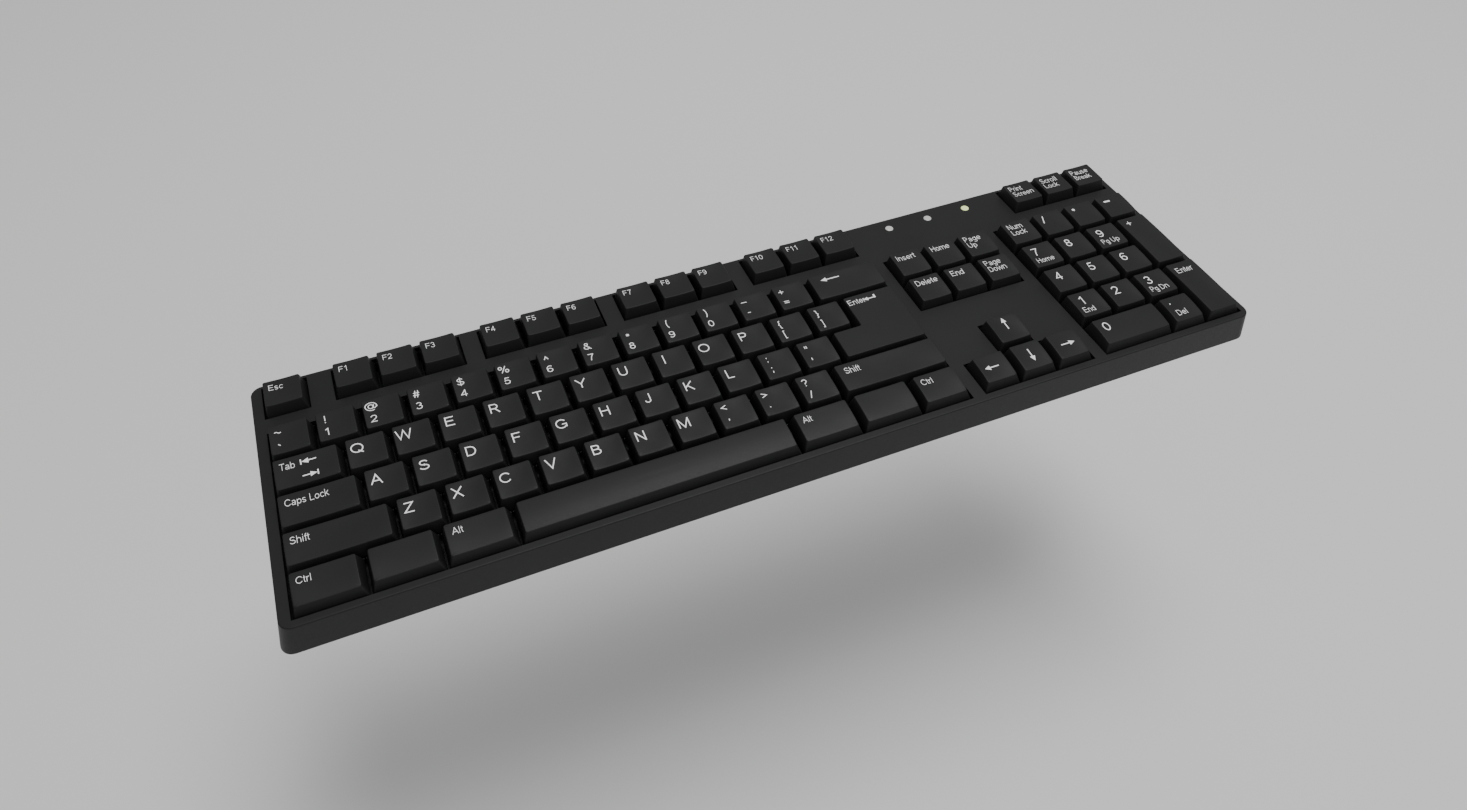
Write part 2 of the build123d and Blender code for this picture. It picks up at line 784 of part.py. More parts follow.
with BuildPart() as controller_chip:
    with BuildSketch(Plane.XY.offset(board_top + 0.15)):
        with Locations((chip_x, chip_y)):
            RectangleRounded(chip_side, chip_side, 0.3)
    extrude(amount=1.4)
    with BuildSketch(Plane.XY.offset(board_top)):
        for step in range(lead_count):
            along = (step - (lead_count - 1) / 2) * lead_pitch
            with Locations((chip_x + along, chip_y - 5.4), (chip_x + along, chip_y + 5.4)):
                Rectangle(0.35, 1.2)
            with Locations((chip_x - 5.4, chip_y + along), (chip_x + 5.4, chip_y + along)):
                Rectangle(1.2, 0.35)
    extrude(amount=0.3)
write(controller_chip, "controller_chip")

with BuildPart() as crystal:
    with BuildSketch(Plane.XY.offset(board_top)):
        with Locations((chip_x, chip_y - 9.0)):
            SlotOverall(11.0, 4.4)
    extrude(amount=3.2)
write(crystal, "crystal")

with BuildPart() as capacitors:
    with BuildSketch(Plane.XY.offset(board_top)):
        with Locations((chip_x, chip_y + 8.2)):
            with GridLocations(4.0, 1.0, 4, 1):
                Rectangle(1.25, 2.0)
    extrude(amount=0.8)
write(capacitors, "capacitors")

with BuildPart() as usb_socket:
    with BuildSketch(Plane.XZ.offset(-socket_back)):
        with Locations((socket_x, board_top + socket_size[1] / 2)):
            RectangleRounded(*socket_size, 1.5)
    extrude(amount=socket_length)
    with BuildSketch(Plane.XZ.offset(-socket_back)):
        with Locations((socket_x, board_top + socket_size[1] / 2)):
            RectangleRounded(socket_size[0] - 0.6, socket_size[1] - 0.6, 1.2)
    extrude(amount=socket_length - 0.8, mode=Mode.SUBTRACT)
    with BuildSketch(Plane.XZ.offset(-socket_back + 1.2)):
        with Locations((socket_x, board_top + socket_size[1] / 2)):
            Rectangle(6.6, 0.7)
    extrude(amount=socket_length - 1.8)
write(usb_socket, "usb_socket")

# ------------------------------------------------------------------ lock lights
led_height = 1.1
with BuildPart() as lock_light_leds:
    with BuildSketch(Plane.XY.offset(board_top)):
        with Locations(*light_places):
            Rectangle(3.2, 1.6)
    extrude(amount=led_height)
write(lock_light_leds, "lock_light_leds")

with BuildPart() as lock_light_lenses:
    with BuildSketch(Plane.XY.offset(board_top + led_height + 0.2)):
        with Locations(*light_places):
            Circle(light_radius)
    extrude(amount=case_top + 0.25 - board_top - led_height - 0.2)
    fillet(lock_light_lenses.edges().group_by(Axis.Z)[-1], radius=0.3)
write(lock_light_lenses, "lock_light_lenses")
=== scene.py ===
"""Mechanical keyboard: the finished look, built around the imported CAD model."""
import math

import bmesh
import bpy
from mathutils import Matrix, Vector


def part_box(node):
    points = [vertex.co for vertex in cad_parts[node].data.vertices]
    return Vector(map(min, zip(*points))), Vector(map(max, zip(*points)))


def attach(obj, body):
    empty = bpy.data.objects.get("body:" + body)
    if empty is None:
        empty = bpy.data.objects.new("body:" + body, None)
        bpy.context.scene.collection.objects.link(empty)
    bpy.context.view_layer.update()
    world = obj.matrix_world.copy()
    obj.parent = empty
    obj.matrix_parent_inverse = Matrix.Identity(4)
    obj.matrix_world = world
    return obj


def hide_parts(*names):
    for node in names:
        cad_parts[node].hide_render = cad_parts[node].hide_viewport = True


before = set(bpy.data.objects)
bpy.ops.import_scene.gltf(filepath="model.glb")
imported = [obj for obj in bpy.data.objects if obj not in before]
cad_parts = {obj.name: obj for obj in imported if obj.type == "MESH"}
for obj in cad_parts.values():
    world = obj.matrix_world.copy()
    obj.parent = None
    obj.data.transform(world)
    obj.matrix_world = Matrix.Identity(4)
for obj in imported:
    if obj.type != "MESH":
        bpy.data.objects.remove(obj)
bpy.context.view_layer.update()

mm = 0.001
pitch = 19.05 * mm
case_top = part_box("top_case")[1][2]

# ------------------------------------------------------------------ materials
noise_low, noise_high = 0.3, 0.7  # the part of its range in which a noise texture mostly stays
broad_ratio = 60.0  # how many times broader the changes of shade are than the grain
bump_strength = 0.35
gloss_change = 0.06


def plain_material(name, color, roughness, metallic=0.0, coat=0.0, emission=None, specular=0.5):
    """A material of one colour. Its emission is a colour and a strength."""
    material = bpy.data.materials.new(name)
    material.use_nodes = True
    shader = material.node_tree.nodes["Principled BSDF"]
    shader.inputs["Base Color"].default_value = (*color, 1.0)
    shader.inputs["Roughness"].default_value = roughness
    shader.inputs["Metallic"].default_value = metallic
    shader.inputs["Coat Weight"].default_value = coat
    shader.inputs["Specular IOR Level"].default_value = specular
    if emission:
        glow, strength = emission
        shader.inputs["Emission Color"].default_value = (*glow, 1.0)
        shader.inputs["Emission Strength"].default_value = strength
    return material


def grained(name, color, roughness, scale, height, tint=0.06, **finish):
    """A material with a fine moulded or cast texture: bump, and small changes of shade and gloss."""
    material = plain_material(name, color, roughness, **finish)
    tree = material.node_tree
    shader = tree.nodes["Principled BSDF"]
    coordinates = tree.nodes.new("ShaderNodeTexCoord")
    fine = tree.nodes.new("ShaderNodeTexNoise")
    fine.inputs["Scale"].default_value = scale
    fine.inputs["Detail"].default_value = 3.0
    broad = tree.nodes.new("ShaderNodeTexNoise")
    broad.inputs["Scale"].default_value = scale / broad_ratio
    broad.inputs["Detail"].default_value = 2.0
    tree.links.new(coordinates.outputs["Object"], fine.inputs["Vector"])
    tree.links.new(coordinates.outputs["Object"], broad.inputs["Vector"])
    bump = tree.nodes.new("ShaderNodeBump")
    bump.inputs["Strength"].default_value = bump_strength
    bump.inputs["Distance"].default_value = height
    tree.links.new(fine.outputs["Fac"], bump.inputs["Height"])
    tree.links.new(bump.outputs["Normal"], shader.inputs["Normal"])
    shade = tree.nodes.new("ShaderNodeValToRGB")
    ends = ((noise_low, 1.0 - tint), (noise_high, 1.0 + tint))
    for element, (position, factor) in zip(shade.color_ramp.elements, ends):
        element.position = position
        element.color = [min(1.0, channel * factor) for channel in color] + [1.0]
    tree.links.new(broad.outputs["Fac"], shade.inputs["Fac"])
    tree.links.new(shade.outputs["Color"], shader.inputs["Base Color"])
    gloss = tree.nodes.new("ShaderNodeMapRange")
    gloss.inputs["From Min"].default_value = noise_low
    gloss.inputs["From Max"].default_value = noise_high
    gloss.inputs["To Min"].default_value = roughness - gloss_change
    gloss.inputs["To Max"].default_value = roughness + gloss_change
    tree.links.new(fine.outputs["Fac"], gloss.inputs["Value"])
    tree.links.new(gloss.outputs["Result"], shader.inputs["Roughness"])
    return material


cap_plastic = grained("cap_plastic", (0.0190, 0.0190, 0.0200), 0.42, 2500, 0.00002, specular=0.16)
stem_plastic = grained("stem_plastic", (0.015, 0.015, 0.016), 0.40, 1200, 0.00003)
case_plastic = grained("case_plastic", (0.0165, 0.0165, 0.0175), 0.46, 1800, 0.00002, specular=0.20)
base_plastic = grained("base_plastic", (0.018, 0.018, 0.019), 0.60, 1500, 0.00006)
# The legends' white paint also carries a small emission: a painted glow that makes the print look brighter
# than the light on it, though the print is no lamp.
legend_paint_with_painted_glow = grained(
    "legend_paint_with_painted_glow", (0.92, 0.92, 0.92), 0.50, 3000, 0.00001, tint=0.03, emission=((1.0, 1.0, 1.0), 0.16)
)
housing_plastic = grained("housing_plastic", (0.008, 0.008, 0.009), 0.35, 900, 0.00002)
wire_steel = grained("wire_steel", (0.60, 0.60, 0.61), 0.28, 2500, 0.00001, metallic=1.0)
contact_brass = grained("contact_brass", (0.75, 0.55, 0.26), 0.30, 2500, 0.00001, metallic=1.0)
foot_rubber = grained("foot_rubber", (0.020, 0.020, 0.020), 0.82, 1500, 0.00008)
screw_steel = grained("screw_steel", (0.42, 0.42, 0.43), 0.33, 2500, 0.00001, metallic=1.0)
plate_paint = grained("plate_paint", (0.012, 0.012, 0.013), 0.45, 1500, 0.00003)
board_mask = grained("board_mask", (0.008, 0.050, 0.022), 0.30, 1500, 0.00001, coat=0.4)
chip_body = grained("chip_body", (0.012, 0.012, 0.012), 0.48, 3000, 0.00002)
crystal_can = grained("crystal_can", (0.70, 0.70, 0.72), 0.20, 2000, 0.00001, metallic=1.0)
socket_shell = grained("socket_shell", (0.58, 0.58, 0.60), 0.27, 2000, 0.00001, metallic=1.0)
led_body = grained("led_body", (0.75, 0.75, 0.68), 0.25, 2000, 0.00001)
# An unlit lock light's lens is given a faint emission: a painted glow, since the light behind it is off.
lens_off_with_painted_glow = grained(
    "lens_off_with_painted_glow", (0.55, 0.56, 0.54), 0.30, 1500, 0.00001, coat=0.3, emission=((0.9, 0.95, 0.9), 0.10)
)
lens_lit = grained(
    "lens_lit", (0.72, 0.80, 0.40), 0.30, 1500, 0.00001, coat=0.3, emission=((0.82, 1.0, 0.35), 0.55)
)

node_materials = {
    "switch_lower_housings": housing_plastic,
    "switch_upper_housings": housing_plastic,
    "switch_springs": wire_steel,
    "switch_contacts": contact_brass,
    "stabilizer_housings": housing_plastic,
    "stabilizer_wires": wire_steel,
    "top_case": case_plastic,
    "bottom_case": base_plastic,
    "flip_foot_left": base_plastic,
    "flip_foot_right": base_plastic,
    "rubber_feet": foot_rubber,
    "case_screws": screw_steel,
    "switch_plate": plate_paint,
    "circuit_board": board_mask,
    "switch_diodes": chip_body,
    "controller_chip": chip_body,
    "crystal": crystal_can,
    "capacitors": chip_body,
    "usb_socket": socket_shell,
    "lock_light_leds": led_body,
}
for node_name, material in node_materials.items():
    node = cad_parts[node_name]
    if not node.material_slots:
        node.data.materials.append(material)
    for material_slot in node.material_slots:
        material_slot.material = material

# ------------------------------------------------------------------ keycaps
cap_gap = 0.4 * mm
cap_wall = 1.3 * mm
cap_skirt = 1.9 * mm
cap_ceiling = case_top + 3.25 * mm
stem_limit = case_top + 3.5 * mm  # stems end below this height, and caps above it
corner_radius = 0.9 * mm
tight_radius = 0.3 * mm
edge_radius = 0.4 * mm
corner_steps = 4
side_steps = 8
edge_steps = 3
dish_rings = 6
dish_fade = 0.7  # how much shallower a dish is at the front and back edges
fall_power = 2.5  # above one, so that a top stays level at the back and bends down towards the front
flat_width = 6 * pitch  # a wider cap, the space bar, has no dish

# The rows from the back, and for each one, in millimetres: how far the top face is set in from its cell
# at the sides, the front and the back, how far it comes down from back to front, and how deep its dish is.
function_row, number_row, upper_row, home_row, lower_row, bottom_row = range(6)
row_shapes = [
    (1.9, 2.5, 1.8, 0.2, 0.70),
    (1.9, 1.9, 1.8, 0.9, 0.70),
    (1.9, 1.9, 2.0, 0.9, 0.70),
    (1.9, 2.0, 2.0, 0.9, 0.70),
    (2.0, 2.1, 2.1, 0.9, 0.70),
    (2.3, 2.7, 2.0, 1.4, 0.35),
]


def rounded(points, radius, z):
    """A ring of points at one height: a right-angled outline with rounded corners and divided sides."""
    arcs = []
    for index, corner in enumerate(points):
        corner = Vector(corner)
        before = (Vector(points[index - 1]) - corner).normalized()
        after = (Vector(points[(index + 1) % len(points)]) - corner).normalized()
        middle = corner + radius * (before + after)
        turns = [math.pi / 2 * step / corner_steps for step in range(corner_steps + 1)]
        arcs.append([middle - radius * (after * math.cos(turn) + before * math.sin(turn)) for turn in turns])
    ring = []
    for arc, next_arc in zip(arcs, arcs[1:] + arcs[:1]):
        ring += arc
        ring += [arc[-1].lerp(next_arc[0], step / side_steps) for step in range(1, side_steps)]
    return [Vector((place.x, place.y, z)) for place in ring]


def rectangle(left, right, front, back):
    return [(left, front), (right, front), (right, back), (left, back)]


def add_rings(mesh, rings, first_cap=False, last_cap=False):
    """Skins a stack of rings with quads, and closes either end with one face."""
    loops = [[mesh.verts.new(place) for place in ring] for ring in rings]
    for lower, upper in zip(loops, loops[1:]):
        for index in range(len(lower)):
            following = (index + 1) % len(lower)
            mesh.faces.new((lower[index], lower[following], upper[following], upper[index]))
    if first_cap:
        mesh.faces.new(loops[0][::-1])
    if last_cap:
        mesh.faces.new(loops[-1])
    return loops


class Cap:
    """One keycap: its cell, its top face and the shape of the dish on it."""

    def __init__(self, left, right, front, back, row, top, notch=0.0):
        self.left, self.right, self.front, self.back = left, right, front, back
        self.top = top
        self.notch = notch
        sizes = [size * mm for size in row_shapes[row]]
        self.side_inset, self.front_inset, self.back_inset, self.fall, dish = sizes
        self.dish = 0.0 if notch or right - left > flat_width else dish
        self.middle_x = (left + right) / 2
        self.middle_y = (front + self.front_inset + back - self.back_inset) / 2
        self.half_x = (right - left) / 2 - self.side_inset
        self.half_y = (back - front - self.front_inset - self.back_inset) / 2

    def outline(self, inset_side, inset_front, inset_back):
        """The cap's outline, set in from its cell; a notch takes away the left of its back unit."""
        left, right = self.left + inset_side, self.right - inset_side
        front, back = self.front + inset_front, self.back - inset_back
        if not self.notch:
            return rectangle(left, right, front, back)
        step = self.back - pitch - inset_back
        upper_left = left + self.notch
        return [
            (left, front), (right, front), (right, back),
            (upper_left, back), (upper_left, step), (left, step),
        ]

    def insets(self, part_up):
        """The three insets a fraction of the way from the skirt to the top face."""
        insets = (self.side_inset, self.front_inset, self.back_inset)
        if self.notch:
            insets = (self.side_inset,) * 3
        return [cap_gap + (inset - cap_gap) * part_up for inset in insets]

    def surface(self, x, y):
        """The height of the top face, which is dished and comes down a little towards the front."""
        across = min(1.0, abs(x - self.middle_x) / self.half_x)
        along = min(1.0, abs(y - self.middle_y) / self.half_y)
        forward = max(0.0, (self.middle_y + self.half_y - y) / self.half_y / 2)
        dip = self.dish * (1.0 - across ** 2) * (1.0 - dish_fade * along ** 2)
        return self.top - dip - self.fall * forward ** fall_power

    def dished(self, ring):
        """Lowers a ring by as much as the top face is lowered there."""
        for place in ring:
            place.z += self.surface(place.x, place.y) - self.top
        return ring

    def build(self, mesh):
        """Adds the cap: tapered walls, a rounded edge, the dished top, and a hollow with a flat ceiling."""
        base = case_top - cap_skirt
        height = self.top - base
        rings = [rounded(self.outline(*self.insets(0.0)), corner_radius, base)]
        shoulder = self.insets((height - edge_radius) / height)
        rings.append(self.dished(rounded(self.outline(*shoulder), corner_radius, self.top - edge_radius)))
        for step in range(1, edge_steps + 1):
            angle = math.pi / 2 * step / edge_steps
            inward = edge_radius * (1.0 - math.cos(angle))
            insets = [inset + inward for inset in shoulder]
            z = self.top - edge_radius * (1.0 - math.sin(angle))
            radius = max(corner_radius - inward, tight_radius)
            rings.append(self.dished(rounded(self.outline(*insets), radius, z)))
        edge = rings[-1]
        if not self.notch:
            centre = Vector((self.middle_x, self.middle_y, self.top))
            for step in range(1, dish_rings):
                share = 1.0 - step / dish_rings
                ring = [centre.lerp(Vector((place.x, place.y, self.top)), share) for place in edge]
                rings.append(self.dished(ring))
        outer = add_rings(mesh, rings, last_cap=True)
        inner_rings = []
        ceiling_share = (cap_ceiling - base) / height
        for part_up, z in ((0.0, base), (ceiling_share, cap_ceiling)):
            insets = [inset + cap_wall for inset in self.insets(part_up)]
            inner_rings.append(rounded(self.outline(*insets), tight_radius, z))
        inner = add_rings(mesh, inner_rings, last_cap=True)
        for index in range(len(outer[0])):
            following = (index + 1) % len(outer[0])
            mesh.faces.new((outer[0][following], outer[0][index], inner[0][index], inner[0][following]))


def cell_box(node_name):
    """A node's left, right, front and back with the gap round its caps, and the height of its top."""
    low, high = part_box(node_name)
    return low[0] - cap_gap, high[0] + cap_gap, low[1] - cap_gap, high[1] + cap_gap, high[2]


def cap_of(node_name, row, notch=0.0):
    """The cap of a node that holds one key."""
    left, right, front, back, top = cell_box(node_name)
    return Cap(left, right, front, back, row, top, notch)


def unit_cap(left, back, row, top):
    return Cap(left, left + pitch, back - pitch, back, row, top)


def caps_in_run(node_name, row, count):
    """The caps of a row of neighbouring one-unit keys."""
    left, _, _, back, top = cell_box(node_name)
    return [unit_cap(left + index * pitch, back, row, top) for index in range(count)]


def function_caps():
    """Four blocks of three keys: the gap between blocks is what is left of the row's length."""
    left, right, _, back, top = cell_box("function_keys")
    block_step = (right - left - 3 * pitch) / 3
    starts = [left + block * block_step + index * pitch for block in range(4) for index in range(3)]
    return [unit_cap(start, back, function_row, top) for start in starts]


def pad_caps():
    """The pad's one-unit keys, row by row from the back: three, three, three, three and the last."""
    left, _, _, back, _ = cell_box("pad_keys")
    row_keys = ("num_lock_key", "pad_plus_key", "home_letter_keys", "lower_letter_keys", "pad_zero_key")
    tops = [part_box(node_name)[1][2] for node_name in row_keys]
    places = [(1, 0), (2, 0), (3, 0)]
    places += [(column, line) for line in (1, 2, 3) for column in range(3)]
    places.append((2, 4))
    return [
        unit_cap(left + column * pitch, back - line * pitch, number_row + line, tops[line])
        for column, line in places
    ]


# ------------------------------------------------------------------ lettering
# Plain sans letters drawn with a pen. Each glyph is its advance and its pen strokes, and each stroke is a
# list of points. All of it is in capital heights, from the left end of the baseline.
letter_pen = 0.050  # half the width of a stroke in single letters and signs
word_pen = 0.041  # the same in words
half_turn_steps = 10
low_line, high_line = 0.06, 0.94  # the middle of the strokes along a capital's bottom and top
small_top = 0.72
closed_distance = 0.001
mitre_limit = 0.4


def bend(x, y, radius_x, radius_y, first, last):
    """Points along part of an ellipse, between two angles in degrees."""
    steps = max(3, round(abs(last - first) / 180 * half_turn_steps))
    angles = [math.radians(first + (last - first) * step / steps) for step in range(steps + 1)]
    return [(x + radius_x * math.cos(angle), y + radius_y * math.sin(angle)) for angle in angles]


def oval(x, y, radius_x, radius_y):
    return bend(x, y, radius_x, radius_y, 0, 360)


def stem(x, bottom=0.0, top=1.0):
    return [(x, bottom), (x, top)]


def bar(y, left, right):
    return [(left, y), (right, y)]


s_curve = bend(0.46, 0.725, 0.30, 0.215, 20, 270) + bend(0.46, 0.285, 0.35, 0.225, 90, -165)
small_s_curve = bend(0.33, 0.51, 0.21, 0.15, 25, 270) + bend(0.33, 0.205, 0.23, 0.145, 90, -160)
bowl = [(0.14, high_line)] + bend(0.50, 0.705, 0.25, 0.235, 90, -90) + [(0.14, 0.47)]

glyphs = {
    " ": (0.39, []),
    "A": (0.92, [[(0.04, 0), (0.46, 0.97), (0.88, 0)], bar(0.34, 0.20, 0.72)]),
    "B": (0.93, [stem(0.14),
                 [(0.14, high_line)] + bend(0.48, 0.74, 0.22, 0.20, 90, -90) + [(0.14, 0.54)],
                 [(0.14, 0.54)] + bend(0.50, 0.30, 0.28, 0.24, 90, -90) + [(0.14, low_line)]]),
    "C": (1.0, [bend(0.53, 0.5, 0.43, 0.44, 35, 325)]),
    "D": (1.0, [stem(0.14),
                [(0.14, high_line)] + bend(0.44, 0.5, 0.42, 0.44, 90, -90) + [(0.14, low_line)]]),
    "E": (0.93, [stem(0.14), bar(high_line, 0.14, 0.82),
                 bar(0.53, 0.14, 0.76), bar(low_line, 0.14, 0.84)]),
    "F": (0.86, [stem(0.14), bar(high_line, 0.14, 0.78), bar(0.50, 0.14, 0.70)]),
    "G": (1.08, [bend(0.54, 0.5, 0.44, 0.44, 40, 325) + [(0.94, 0.20), (0.94, 0.46), (0.58, 0.46)]]),
    "H": (1.0, [stem(0.14), stem(0.84), bar(0.53, 0.14, 0.84)]),
    "I": (0.39, [stem(0.19)]),
    "J": (0.70, [[(0.55, 1.0)] + bend(0.32, 0.30, 0.23, 0.24, 0, -175)]),
    "K": (0.93, [stem(0.14), [(0.82, 1.0), (0.14, 0.35)], [(0.38, 0.58), (0.86, 0.0)]]),
    "L": (0.78, [[(0.14, 1.0), (0.14, low_line), (0.72, low_line)]]),
    "M": (1.16, [stem(0.13), stem(1.03), [(0.13, 0.97), (0.58, 0.03), (1.03, 0.97)]]),
    "N": (1.0, [stem(0.13), stem(0.83), [(0.13, 0.97), (0.83, 0.03)]]),
    "O": (1.08, [oval(0.54, 0.5, 0.46, 0.44)]),
    "P": (0.93, [stem(0.14), bowl]),
    "Q": (1.08, [oval(0.54, 0.5, 0.46, 0.44), [(0.62, 0.25), (1.0, -0.03)]]),
    "R": (1.0, [stem(0.14), bowl, [(0.50, 0.47), (0.86, 0.0)]]),
    "S": (0.93, [s_curve]),
    "T": (0.85, [bar(high_line, 0.03, 0.82), stem(0.425)]),
    "U": (1.0, [[(0.13, 1.0)] + bend(0.48, 0.38, 0.35, 0.32, 180, 360) + [(0.83, 1.0)]]),
    "V": (0.92, [[(0.04, 1.0), (0.46, 0.03), (0.88, 1.0)]]),
    "W": (1.32, [[(0.04, 1.0), (0.34, 0.03), (0.66, 0.97), (0.98, 0.03), (1.28, 1.0)]]),
    "X": (0.93, [[(0.06, 1.0), (0.86, 0.0)], [(0.86, 1.0), (0.06, 0.0)]]),
    "Y": (0.93, [[(0.04, 1.0), (0.46, 0.44), (0.88, 1.0)], stem(0.46, 0.0, 0.46)]),
    "Z": (0.85, [[(0.09, high_line), (0.76, high_line), (0.07, low_line), (0.79, low_line)]]),
    "0": (0.78, [oval(0.39, 0.5, 0.29, 0.44)]),
    "1": (0.78, [stem(0.44), [(0.44, 0.95), (0.17, 0.74)]]),
    "2": (0.78, [bend(0.38, 0.69, 0.28, 0.25, 170, -35) + [(0.10, low_line), (0.70, low_line)]]),
    "3": (0.78, [bend(0.37, 0.735, 0.24, 0.205, 160, -90), bend(0.37, 0.295, 0.29, 0.235, 90, -165)]),
    "4": (0.78, [stem(0.55), [(0.55, 0.95), (0.08, 0.28), (0.74, 0.28)]]),
    "5": (0.78, [[(0.66, high_line), (0.22, high_line), (0.14, 0.48)]
                 + bend(0.37, 0.32, 0.30, 0.26, 140, -160)]),
    "6": (0.78, [oval(0.40, 0.31, 0.28, 0.25), bend(0.46, 0.50, 0.35, 0.44, 50, 200)]),
    "7": (0.78, [[(0.08, high_line), (0.68, high_line), (0.42, 0.50), (0.29, 0.0)]]),
    "8": (0.78, [oval(0.39, 0.735, 0.23, 0.205), oval(0.39, 0.295, 0.28, 0.235)]),
    "9": (0.78, [oval(0.38, 0.69, 0.28, 0.25), bend(0.32, 0.50, 0.35, 0.44, -130, 20)]),
    "a": (0.78, [bend(0.37, 0.50, 0.24, 0.16, 160, 0) + [(0.61, 0.0)],
                 [(0.61, 0.38)] + bend(0.29, 0.20, 0.19, 0.145, 90, 270)
                 + [(0.42, 0.06), (0.61, 0.20)]]),
    "b": (0.78, [stem(0.12), oval(0.40, 0.36, 0.27, 0.30)]),
    "c": (0.70, [bend(0.39, 0.36, 0.28, 0.30, 40, 320)]),
    "d": (0.78, [stem(0.65), oval(0.37, 0.36, 0.27, 0.30)]),
    "e": (0.78, [[(0.12, 0.36)] + bend(0.39, 0.36, 0.28, 0.30, 0, 320)]),
    "f": (0.39, [[(0.20, 0.0)] + bend(0.36, 0.80, 0.16, 0.14, 180, 80), bar(0.66, 0.03, 0.38)]),
    "g": (0.78, [oval(0.37, 0.38, 0.27, 0.28),
                 [(0.65, small_top)] + bend(0.38, -0.04, 0.27, 0.18, 0, -160)]),
    "h": (0.78, [stem(0.12), bend(0.38, 0.42, 0.26, 0.24, 180, 0) + [(0.64, 0.0)]]),
    "i": (0.31, [stem(0.15, 0.0, small_top), stem(0.15, 0.87, 1.0)]),
    "k": (0.70, [stem(0.12), [(0.60, small_top), (0.12, 0.27)], [(0.28, 0.42), (0.64, 0.0)]]),
    "l": (0.31, [stem(0.15)]),
    "m": (1.16, [stem(0.12, 0.0, small_top), bend(0.35, 0.45, 0.23, 0.21, 180, 0) + [(0.58, 0.0)],
                 bend(0.81, 0.45, 0.23, 0.21, 180, 0) + [(1.04, 0.0)]]),
    "n": (0.78, [stem(0.12, 0.0, small_top), bend(0.38, 0.42, 0.26, 0.24, 180, 0) + [(0.64, 0.0)]]),
    "o": (0.78, [oval(0.39, 0.36, 0.29, 0.30)]),
    "p": (0.78, [stem(0.12, -0.28, small_top), oval(0.40, 0.36, 0.27, 0.30)]),
    "r": (0.47, [stem(0.12, 0.0, small_top), bend(0.36, 0.40, 0.24, 0.26, 180, 75)]),
    "s": (0.70, [small_s_curve]),
    "t": (0.39, [[(0.18, 0.92)] + bend(0.31, 0.19, 0.13, 0.13, 180, 285), bar(0.66, 0.03, 0.36)]),
    "u": (0.78, [[(0.12, small_top)] + bend(0.38, 0.30, 0.26, 0.24, 180, 360),
                 stem(0.64, 0.0, small_top)]),
    "w": (1.0, [[(0.03, small_top), (0.26, 0.03), (0.50, 0.69), (0.74, 0.03), (0.97, small_top)]]),
    "~": (0.82, [[(0.08 + 0.066 * step, 0.45 + 0.08 * math.sin(step * 0.63)) for step in range(11)]]),
    "`": (0.46, [[(0.10, 1.0), (0.32, 0.80)]]),
    "!": (0.39, [stem(0.19, 0.30), stem(0.19, 0.0, 0.13)]),
    "@": (1.42, [bend(0.72, 0.42, 0.62, 0.56, 300, -10), oval(0.68, 0.42, 0.26, 0.28),
                 [(1.02, 0.68), (0.93, 0.22), (1.08, 0.16), (1.28, 0.36), (1.34, 0.50)]]),
    "#": (0.78, [[(0.16, 0.0), (0.32, 1.0)], [(0.46, 0.0), (0.62, 1.0)],
                 bar(0.33, 0.03, 0.68), bar(0.67, 0.08, 0.74)]),
    "$": (0.86, [s_curve, stem(0.46, -0.12, 1.12)]),
    "%": (1.24, [oval(0.27, 0.74, 0.18, 0.21), oval(0.97, 0.25, 0.18, 0.21),
                 [(0.36, 0.0), (0.88, 1.0)]]),
    "^": (0.66, [[(0.10, 0.52), (0.33, 0.96), (0.56, 0.52)]]),
    "&": (0.93, [oval(0.42, 0.78, 0.18, 0.17), bend(0.38, 0.28, 0.29, 0.23, 120, 390),
                 [(0.28, 0.68), (0.86, 0.0)]]),
    "*": (0.54, [stem(0.27, 0.60, 1.0), [(0.09, 0.70), (0.45, 0.90)], [(0.09, 0.90), (0.45, 0.70)]]),
    "(": (0.46, [bend(0.72, 0.36, 0.56, 0.90, 134, 226)]),
    ")": (0.46, [bend(-0.26, 0.36, 0.56, 0.90, 46, -46)]),
    "_": (0.78, [bar(0.0, 0.02, 0.74)]),
    "+": (0.82, [bar(0.42, 0.08, 0.72), stem(0.40, 0.10, 0.74)]),
    "-": (0.46, [bar(0.36, 0.05, 0.42)]),
    "=": (0.82, [bar(0.54, 0.08, 0.72), bar(0.28, 0.08, 0.72)]),
    "{": (0.46, [[(0.38, 0.98), (0.22, 0.90), (0.22, 0.52), (0.08, 0.38),
                  (0.22, 0.24), (0.22, -0.14), (0.38, -0.22)]]),
    "}": (0.46, [[(0.08, 0.98), (0.24, 0.90), (0.24, 0.52), (0.38, 0.38),
                  (0.24, 0.24), (0.24, -0.14), (0.08, -0.22)]]),
    "[": (0.39, [[(0.34, 0.96), (0.16, 0.96), (0.16, -0.20), (0.34, -0.20)]]),
    "]": (0.39, [[(0.06, 0.96), (0.24, 0.96), (0.24, -0.20), (0.06, -0.20)]]),
    ":": (0.39, [stem(0.19, 0.0, 0.13), stem(0.19, 0.56, 0.69)]),
    ";": (0.39, [[(0.19, 0.13), (0.19, 0.0), (0.13, -0.13)], stem(0.19, 0.56, 0.69)]),
    '"': (0.50, [stem(0.14, 0.64), stem(0.36, 0.64)]),
    "'": (0.27, [stem(0.13, 0.64)]),
    "<": (0.82, [[(0.70, 0.70), (0.12, 0.42), (0.70, 0.14)]]),
    ">": (0.82, [[(0.12, 0.70), (0.70, 0.42), (0.12, 0.14)]]),
    ",": (0.39, [[(0.19, 0.13), (0.19, 0.0), (0.13, -0.13)]]),
    ".": (0.39, [stem(0.19, 0.0, 0.13)]),
    "/": (0.39, [[(0.0, 0.0), (0.39, 1.0)]]),
    "?": (0.78, [bend(0.38, 0.72, 0.26, 0.22, 170, -50) + [(0.39, 0.40), (0.39, 0.28)],
                 stem(0.39, 0.0, 0.13)]),
}


